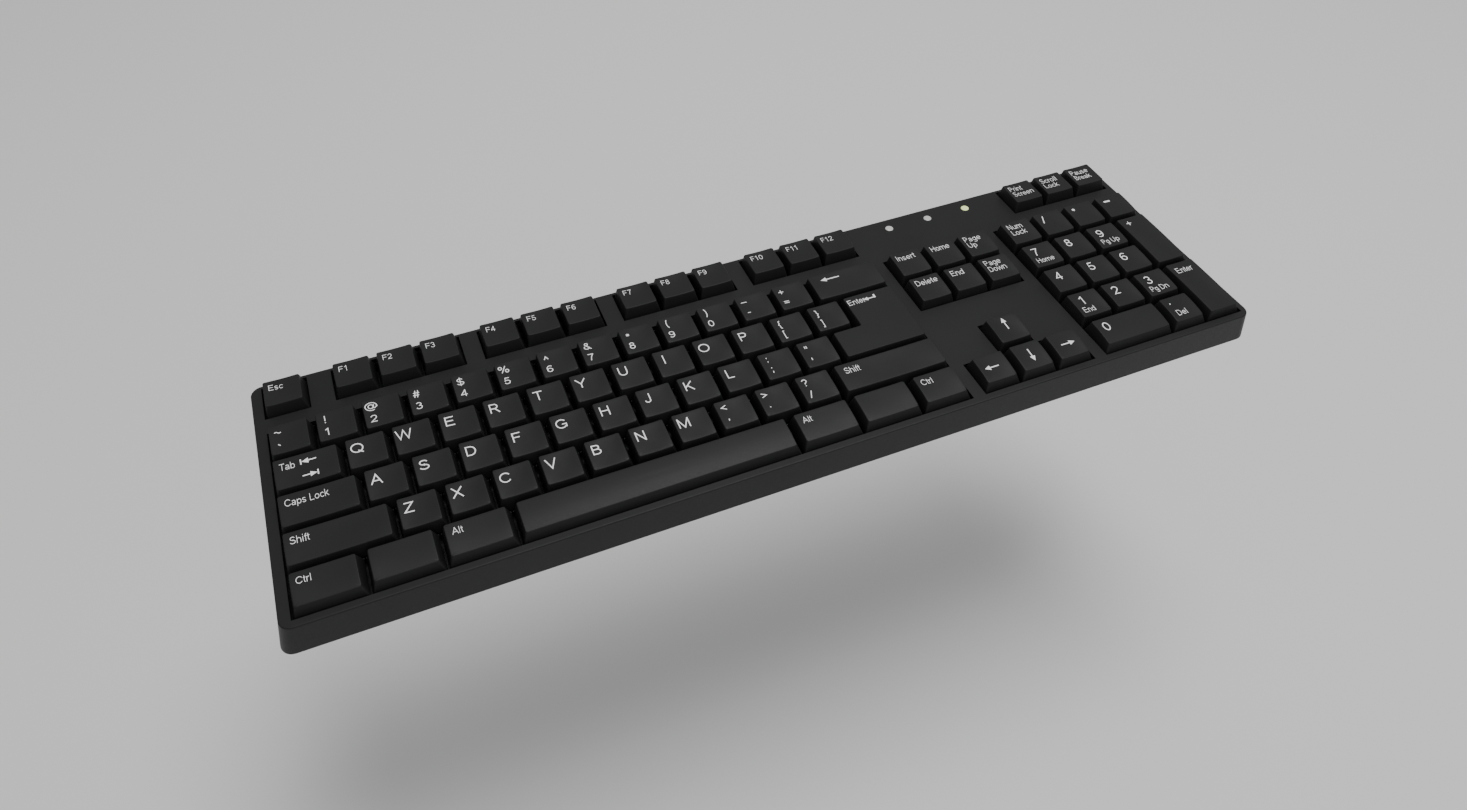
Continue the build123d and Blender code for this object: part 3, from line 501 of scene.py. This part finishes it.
def ribbon(points, pen):
    """The two sides of a pen stroke along some points, mitred where it turns."""
    closed = math.dist(points[0], points[-1]) < closed_distance
    if closed:
        points = points[:-1]
    places = [Vector(point) for point in points]
    count = len(places)
    left, right = [], []
    for index, place in enumerate(places):
        ways = []
        if closed or index > 0:
            ways.append((place - places[index - 1]).normalized())
        if closed or index < count - 1:
            ways.append((places[(index + 1) % count] - place).normalized())
        normals = [Vector((-way.y, way.x)) for way in ways]
        across = sum(normals, Vector((0.0, 0.0))).normalized()
        reach = pen / max(mitre_limit, across.dot(normals[0]))
        left.append(place + across * reach)
        right.append(place - across * reach)
    return left, right, closed


def flat_text(text, pen=letter_pen):
    """The flat mesh of some words, with capitals one unit high."""
    places, faces = [], []
    start = 0.0
    for character in text:
        advance, strokes = glyphs[character]
        for points in strokes:
            left, right, closed = ribbon(points, pen)
            first, count = len(places), len(left)
            places += [(start + place.x, place.y, 0.0) for place in left + right]
            for index in range(count if closed else count - 1):
                following = (index + 1) % count
                corners = (index, index + count, following + count, following)
                faces.append([first + corner for corner in corners])
        start += advance
    mesh = bpy.data.meshes.new("words")
    mesh.from_pydata(places, [], faces)
    return mesh


# ------------------------------------------------------------------ legends
# Places on a key are right of and down from the back left corner of its cell: in metres where words and
# symbols are drawn, and in millimetres in polygons, arrows and each key's own legend.
legend_sink = 0.02 * mm
legend_rise = 0.05 * mm
letter_size = 5.0 * mm
digit_size = 3.9 * mm
word_size = 3.5 * mm
under_size = 3.3 * mm
small_size = 3.2 * mm
line_step = 4.3
arrow_shaft = 0.27  # half the width of an arrow's shaft


def span(mesh, axis):
    values = [vertex.co[axis] for vertex in mesh.vertices]
    return min(values), max(values)


def put(mesh, source, cap, place):
    """Adds flat faces to a key's legends as a thin layer lying on the cap's dished top."""
    before = len(mesh.verts)
    mesh.from_mesh(source)
    mesh.verts.ensure_lookup_table()
    added = mesh.verts[before:]
    faces = list({face for vertex in added for face in vertex.link_faces})
    for vertex in added:
        x, y = place(vertex.co)
        vertex.co = Vector((cap.left + x, cap.back - y, 0.0))
    solid = bmesh.ops.extrude_face_region(mesh, geom=faces)
    raised = [item for item in solid["geom"] if isinstance(item, bmesh.types.BMVert)]
    for vertex in raised:
        vertex.co.z = cap.surface(vertex.co.x, vertex.co.y) + legend_rise
    for vertex in added:
        vertex.co.z = cap.surface(vertex.co.x, vertex.co.y) - legend_sink
    bpy.data.meshes.remove(source)


def words(mesh, cap, text, size, baseline, left=None, centre=None, squeeze=1.0):
    """Text with capitals `size` high, its baseline that far down from the cell's back edge."""
    source = flat_text(text, word_pen if len(text) > 1 else letter_pen)
    low, high = span(source, 0)
    start = left if centre is None else centre - (high - low) * size * squeeze / 2
    put(mesh, source, cap, lambda co: (start + (co.x - low) * size * squeeze, baseline - co.y * size))


def symbol(mesh, cap, text, size, centre_x, centre_y):
    """One sign, centred on a point."""
    source = flat_text(text)
    low_x, high_x = span(source, 0)
    low_y, high_y = span(source, 1)
    middle_x, middle_y = (low_x + high_x) / 2, (low_y + high_y) / 2

    def place(co):
        return centre_x + (co.x - middle_x) * size, centre_y - (co.y - middle_y) * size

    put(mesh, source, cap, place)


def polygons(mesh, cap, shapes):
    """Closed flat shapes, each a list of corners."""
    for shape in shapes:
        source = bpy.data.meshes.new("shape")
        points = [(x * mm, -y * mm, 0.0) for x, y in shape]
        edges = zip(points, points[1:] + points[:1])
        double_area = sum(start[0] * end[1] - end[0] * start[1] for start, end in edges)
        if double_area < 0:
            points.reverse()
        source.from_pydata(points, [], [list(range(len(points)))])
        put(mesh, source, cap, lambda co: (co.x, -co.y))


def arrow(centre_x, centre_y, length, direction, head=2.7, half_width=1.3, tip_bar=False):
    """An arrow: a shaft and a solid head and, for a tab arrow, a bar at its tip."""
    along = Vector(direction)
    across = Vector((-along.y, along.x))
    middle = Vector((centre_x, centre_y))
    tip = middle + along * length / 2
    tail = middle - along * length / 2
    neck = tip - along * head
    side = across * half_width
    thin = across * arrow_shaft
    shapes = [[tail + thin, neck + thin, neck + side, tip, neck - side, neck - thin, tail - thin]]
    if tip_bar:
        outer = tip + along * 2 * arrow_shaft
        shapes.append([tip + side, outer + side, outer - side, tip - side])
    return shapes


def letter(text):
    """One large letter. This function and those below give a function that draws a legend on a cap."""
    return lambda mesh, cap: words(mesh, cap, text, letter_size, 9.7 * mm, centre=5.9 * mm)


def pair(upper, lower, upper_y=5.8, lower_y=12.6):
    """The sign typed with Shift over the sign typed without it."""

    def draw(mesh, cap):
        symbol(mesh, cap, upper, digit_size, 5.3 * mm, upper_y * mm)
        symbol(mesh, cap, lower, digit_size, 5.3 * mm, lower_y * mm)

    return draw


def label(*lines, size=word_size, left=4.1, first=7.7, squeeze=0.84):
    """Lines of words, the baseline of the first one that far down."""

    def draw(mesh, cap):
        for index, line in enumerate(lines):
            words(mesh, cap, line, size, (first + line_step * index) * mm, left=left * mm, squeeze=squeeze)

    return draw


def pad_digit(digit, under=None):
    """A digit of the pad, over the word for its second use if it has one."""

    def draw(mesh, cap):
        words(mesh, cap, digit, letter_size, 9.5 * mm, centre=7.1 * mm)
        if under:
            words(mesh, cap, under, under_size, 14.6 * mm, left=4.2 * mm, squeeze=0.80)

    return draw


def point_legend(mesh, cap):
    words(mesh, cap, ".", letter_size, 6.2 * mm, left=5.4 * mm)
    words(mesh, cap, "Del", under_size, 13.4 * mm, left=5.4 * mm, squeeze=0.84)


def sign(text, centre_x, centre_y, size=4.4 * mm):
    return lambda mesh, cap: symbol(mesh, cap, text, size, centre_x * mm, centre_y * mm)


def drawn(shapes):
    return lambda mesh, cap: polygons(mesh, cap, shapes)


def tab_legend(mesh, cap):
    label("Tab", left=4.1, first=8.0, squeeze=0.72)(mesh, cap)
    polygons(mesh, cap, arrow(15.5, 6.0, 5.8, (-1, 0), tip_bar=True))
    polygons(mesh, cap, arrow(15.1, 13.3, 5.8, (1, 0), tip_bar=True))


def enter_legend(mesh, cap):
    word_left = cap.notch / mm + 2.6
    label("Enter", left=word_left, first=7.6, squeeze=0.78)(mesh, cap)
    arrow_middle = cap.notch / mm + 13.3
    polygons(mesh, cap, arrow(arrow_middle, 6.2, 5.6, (-1, 0), head=2.3, half_width=1.15))
    upright_left, upright_right = arrow_middle + 2.7, arrow_middle + 3.5
    polygons(mesh, cap, [rectangle(upright_left, upright_right, 6.65, 4.4)])


def nothing(mesh, cap):
    """A key with no legend."""


def one(node_name, row, legend, notch=0.0):
    """A node that holds one key: its name, its caps and their legends."""
    return node_name, [cap_of(node_name, row, notch)], [legend]


ctrl_label = label("Ctrl", size=small_size, left=4.4, first=7.6)
alt_label = label("Alt", size=small_size, left=4.8, first=7.6)
keys = [
    one("escape_key", function_row, label("Esc", size=small_size, first=7.5)),
    (
        "function_keys",
        function_caps(),
        [label("F%d" % number, size=small_size, first=7.4) for number in range(1, 13)],
    ),
    (
        "number_row_keys",
        caps_in_run("number_row_keys", number_row, 13),
        [pair(upper, lower) for upper, lower in zip("~!@#$%^&*()_+", "`1234567890-=")],
    ),
    one("backspace_key", number_row, drawn(arrow(12.0, 5.6, 9.7, (-1, 0), head=3.0))),
    one("tab_key", upper_row, tab_legend),
    (
        "upper_letter_keys",
        caps_in_run("upper_letter_keys", upper_row, 12),
        [letter(text) for text in "QWERTYUIOP"] + [pair("{", "[", 6.6, 12.9), pair("}", "]", 6.6, 12.9)],
    ),
    one("caps_lock_key", home_row, label("Caps Lock", left=4.2, first=8.0, squeeze=0.73)),
    (
        "home_letter_keys",
        caps_in_run("home_letter_keys", home_row, 11),
        [letter(text) for text in "ASDFGHJKL"] + [pair(":", ";", 5.9, 12.1), pair('"', "'", 5.2, 12.4)],
    ),
    one("enter_key", home_row, enter_legend, notch=0.75 * pitch),
    one("left_shift_key", lower_row, label("Shift", left=4.3, first=8.0, squeeze=0.76)),
    (
        "lower_letter_keys",
        caps_in_run("lower_letter_keys", lower_row, 10),
        [letter(text) for text in "ZXCVBNM"] + [pair("<", ","), pair(">", "."), pair("?", "/")],
    ),
    one("right_shift_key", lower_row, label("Shift", left=5.4, first=8.0, squeeze=0.78)),
    one("left_ctrl_key", bottom_row, ctrl_label),
    one("left_blank_key", bottom_row, nothing),
    one("left_alt_key", bottom_row, alt_label),
    one("space_bar", bottom_row, nothing),
    one("right_alt_key", bottom_row, alt_label),
    one("right_blank_key", bottom_row, nothing),
    one("right_ctrl_key", bottom_row, ctrl_label),
    one("insert_key", number_row, label("Insert", first=7.1)),
    one("home_key", number_row, label("Home", first=7.1, squeeze=0.80)),
    one("page_up_key", number_row, label("Page", "Up", left=3.9, first=7.0)),
    one("delete_key", upper_row, label("Delete", left=3.9, first=7.4)),
    one("end_key", upper_row, label("End", first=7.4)),
    one("page_down_key", upper_row, label("Page", "Down", left=3.9, first=7.2, squeeze=0.80)),
    one("up_arrow_key", lower_row, drawn(arrow(9.6, 6.6, 7.0, (0, -1)))),
    one("left_arrow_key", bottom_row, drawn(arrow(8.1, 9.2, 7.0, (-1, 0)))),
    one("down_arrow_key", bottom_row, drawn(arrow(9.6, 9.2, 7.0, (0, 1)))),
    one("right_arrow_key", bottom_row, drawn(arrow(9.9, 9.2, 7.0, (1, 0)))),
    one("print_screen_key", function_row, label("Print", "Screen", left=3.6, first=7.6, squeeze=0.78)),
    one("scroll_lock_key", function_row, label("Scroll", "Lock", left=3.8, first=7.6)),
    one("pause_key", function_row, label("Pause", "Break", left=3.8, first=7.6, squeeze=0.78)),
    one("num_lock_key", number_row, label("Num", "Lock", first=7.0)),
    one("pad_plus_key", upper_row, sign("+", 6.4, 6.0)),
    one("pad_enter_key", lower_row, label("Enter", left=4.6, first=8.9, squeeze=0.80)),
    one("pad_zero_key", bottom_row, pad_digit("0")),
    (
        "pad_keys",
        pad_caps(),
        [
            sign("/", 5.7, 6.3, letter_size), sign("*", 5.7, 5.2), sign("-", 7.0, 5.7, 10.0 * mm),
            pad_digit("7", "Home"), pad_digit("8"), pad_digit("9", "Pg Up"),
            pad_digit("4"), pad_digit("5"), pad_digit("6"),
            pad_digit("1", "End"), pad_digit("2"), pad_digit("3", "Pg Dn"),
            point_legend,
        ],
    ),
]


def add_stems(mesh, node_name):
    """Copies the stems out of a key's CAD node: they are its solids that end under the cap's top."""
    source = bmesh.new()
    source.from_mesh(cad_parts[node_name].data)
    source.verts.ensure_lookup_table()
    unseen = set(source.verts)
    doomed = []
    while unseen:
        island = [unseen.pop()]
        for vertex in island:
            for edge in vertex.link_edges:
                other = edge.other_vert(vertex)
                if other in unseen:
                    unseen.remove(other)
                    island.append(other)
        if max(vertex.co.z for vertex in island) > stem_limit:
            doomed += island
    bmesh.ops.delete(source, geom=doomed, context="VERTS")
    copy = bpy.data.meshes.new("stems")
    source.to_mesh(copy)
    source.free()
    before = len(mesh.faces)
    mesh.from_mesh(copy)
    mesh.faces.ensure_lookup_table()
    for face in mesh.faces[before:]:
        face.material_index = 1
        face.smooth = False
    bpy.data.meshes.remove(copy)


def finished(mesh, name, materials):
    """Makes a mesh into a piece of the scene."""
    data = bpy.data.meshes.new(name)
    mesh.to_mesh(data)
    mesh.free()
    for material in materials:
        data.materials.append(material)
    piece = bpy.data.objects.new(name, data)
    bpy.context.scene.collection.objects.link(piece)
    return piece


for node_name, caps, legends in keys:
    mesh = bmesh.new()
    for cap in caps:
        cap.build(mesh)
    for face in mesh.faces:
        face.smooth = True
    bmesh.ops.recalc_face_normals(mesh, faces=mesh.faces)
    add_stems(mesh, node_name)
    piece = finished(mesh, node_name + "_caps", [cap_plastic, stem_plastic])
    weights = piece.modifiers.new("even_normals", "WEIGHTED_NORMAL")
    weights.keep_sharp = True
    weights.weight = 100
    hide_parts(node_name)
    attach(piece, node_name)
    mesh = bmesh.new()
    for cap, legend in zip(caps, legends):
        legend(mesh, cap)
    if not mesh.faces:
        mesh.free()
        continue
    bmesh.ops.recalc_face_normals(mesh, faces=mesh.faces)
    piece = finished(mesh, node_name + "_legend", [legend_paint_with_painted_glow])
    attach(piece, node_name)

# ------------------------------------------------------------------ lock lights
lens_low, lens_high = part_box("lock_light_lenses")
lens_radius = (lens_high[1] - lens_low[1]) / 2
lens_y = (lens_low[1] + lens_high[1]) / 2
lens_spread = (lens_high[0] - lens_low[0]) / 2 - lens_radius
lens_middle = (lens_low[0] + lens_high[0]) / 2
lens_sides = 32
pipe_radius = lens_radius * 0.7
head_bottom = case_top - 2.0 * mm
taper_bottom = case_top - 2.2 * mm
dome_bottom = case_top + 0.02 * mm
dome_height = 0.35 * mm
dome_steps = 6


def light_lens(name, x, material):
    """A round light pipe through the case top with a low domed end."""
    mesh = bmesh.new()
    profile = [(pipe_radius, lens_low[2]), (pipe_radius, taper_bottom)]
    profile += [(lens_radius, head_bottom), (lens_radius, dome_bottom)]
    for step in range(1, dome_steps):
        angle = math.pi / 2 * step / dome_steps
        profile.append((lens_radius * math.cos(angle), case_top + dome_height * math.sin(angle)))
    turns = [2 * math.pi * index / lens_sides for index in range(lens_sides)]
    rings = [
        [Vector((x + radius * math.cos(turn), lens_y + radius * math.sin(turn), z)) for turn in turns]
        for radius, z in profile
    ]
    add_rings(mesh, rings, first_cap=True, last_cap=True)
    for face in mesh.faces:
        face.smooth = len(face.verts) == 4
    bmesh.ops.recalc_face_normals(mesh, faces=mesh.faces)
    piece = finished(mesh, name, [material])
    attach(piece, "case")
    return piece


lenses = [
    light_lens("lock_light_%d" % (index + 1), lens_middle + (index - 1) * lens_spread, material)
    for index, material in enumerate((lens_off_with_painted_glow, lens_off_with_painted_glow, lens_lit))
]
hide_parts("lock_light_lenses")

# ------------------------------------------------------------------ floor, light and camera
floor_half = 6.0
floor_drop = 0.19
floor_data = bpy.data.meshes.new("floor")
floor_data.from_pydata(
    [(x, y, -floor_drop) for x, y in rectangle(-floor_half, floor_half, -floor_half, floor_half)],
    [],
    [(0, 1, 2, 3)],
)
floor = bpy.data.objects.new("floor", floor_data)
floor_data.materials.append(plain_material("floor_paper", (0.82, 0.82, 0.82), 0.9))
bpy.context.scene.collection.objects.link(floor)

world = bpy.data.worlds.new("studio")
world.use_nodes = True
background = world.node_tree.nodes["Background"]
background.inputs["Color"].default_value = (1.0, 1.0, 1.0, 1.0)
background.inputs["Strength"].default_value = 0.40
bpy.context.scene.world = world


def soft_light(name, place, width, height, power):
    """A rectangular light that faces the middle of the object's base."""
    data = bpy.data.lights.new(name, "AREA")
    data.shape = "RECTANGLE"
    data.size = width
    data.size_y = height
    data.energy = power
    light = bpy.data.objects.new(name, data)
    light.location = place
    light.rotation_euler = (-Vector(place)).to_track_quat("-Z", "Y").to_euler()
    bpy.context.scene.collection.objects.link(light)


soft_light("top_light", (0.42, 0.22, 2.00), 1.3, 1.0, 29.0)
soft_light("front_fill", (0.10, -1.25, 0.75), 1.2, 0.6, 2.4)

camera_data = bpy.data.cameras.new("camera")
camera_data.sensor_width = 36.0
camera_data.lens = 24.44
camera = bpy.data.objects.new("camera", camera_data)
camera.location = (-0.1363, -0.28985, 0.3389)
camera_turn = 0.390  # radians to the right of straight back
camera_dip = 0.841  # radians below level
look = Vector((
    math.sin(camera_turn) * math.cos(camera_dip),
    math.cos(camera_turn) * math.cos(camera_dip),
    -math.sin(camera_dip),
))
camera.rotation_euler = look.to_track_quat("-Z", "Y").to_euler()
bpy.context.scene.collection.objects.link(camera)
bpy.context.scene.camera = camera
